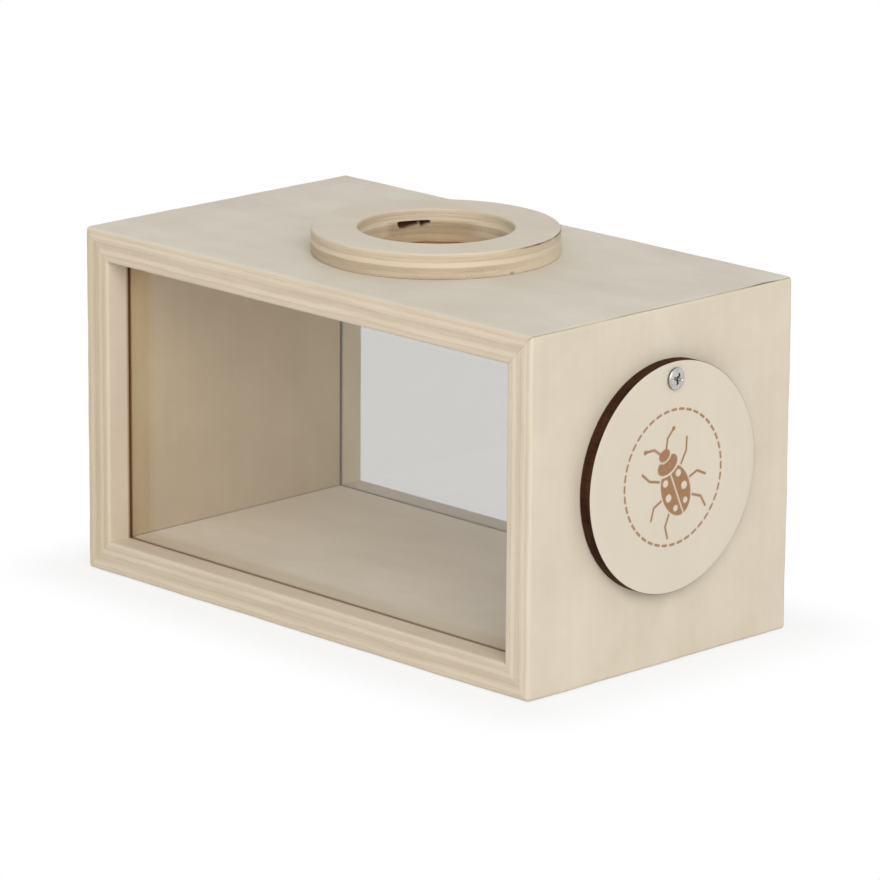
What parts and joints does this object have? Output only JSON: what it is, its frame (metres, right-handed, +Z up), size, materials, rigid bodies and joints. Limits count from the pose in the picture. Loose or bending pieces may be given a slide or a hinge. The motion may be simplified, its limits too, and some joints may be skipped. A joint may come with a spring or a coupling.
{
  "type": "bug viewer box",
  "caption": "Plywood viewing box with clear front and rear windows, a magnifying lens under a ring on top and a round side cover that swings on a screw.",
  "frame": {"origin": "centre of the underside of the bottom panel", "axes": "+X towards the side with the swing cover, -Y towards the front window, +Z up to the lens"},
  "size_m": [0.2012, 0.111, 0.118],
  "materials": {
    "panel_ply": "sanded birch plywood",
    "ring_ply": "sanded birch plywood",
    "cover_ply": "sanded plywood with a laser-burnt edge",
    "clear_sheet": "clear acrylic sheet",
    "lens_clear": "polished clear acrylic",
    "zinc_steel": "bright zinc"
  },
  "bodies": {
    "box": {"top_panel": "panel_ply", "bottom_panel": "panel_ply", "left_panel": "panel_ply", "right_panel": "panel_ply", "front_pane": "clear_sheet", "rear_pane": "clear_sheet", "lens_ring": "ring_ply", "magnifier_lens": "lens_clear", "pivot_screw": "zinc_steel"},
    "cover": {"swing_cover": "cover_ply"}
  },
  "joints": [
    {"name": "cover_swing", "type": "hinge", "parent": "box", "child": "cover", "pos_m": [0.0998, 0, 0.0889], "axis": [1, 0, 0], "continuous": true}
  ]
}
